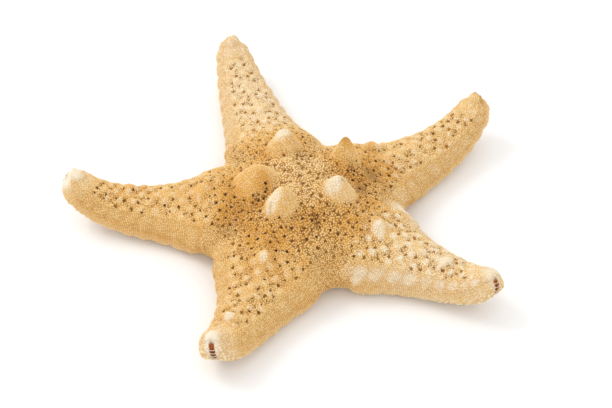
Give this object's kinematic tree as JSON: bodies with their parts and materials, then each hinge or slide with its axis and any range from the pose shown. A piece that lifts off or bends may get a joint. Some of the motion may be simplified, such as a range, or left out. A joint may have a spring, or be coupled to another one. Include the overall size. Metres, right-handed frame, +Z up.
{
  "type": "dried knobbly starfish",
  "caption": "Dried sea star with a domed, knobbly disc and five blunt tapering arms whose tips curl up; it rests on its flat underside and serves as an ornament.",
  "frame": {"origin": "middle of the bounding box, on the surface that the underside rests on", "axes": "+Z up out of the domed back, +X to the right and -Y towards the front as the picture's camera sees the star"},
  "size_m": [0.1174, 0.1126, 0.0251],
  "materials": {
    "bone": "matte, dry and sandy, with a fine grain all over"
  },
  "bodies": {
    "root": {"starfish": "bone"}
  },
  "joints": []
}
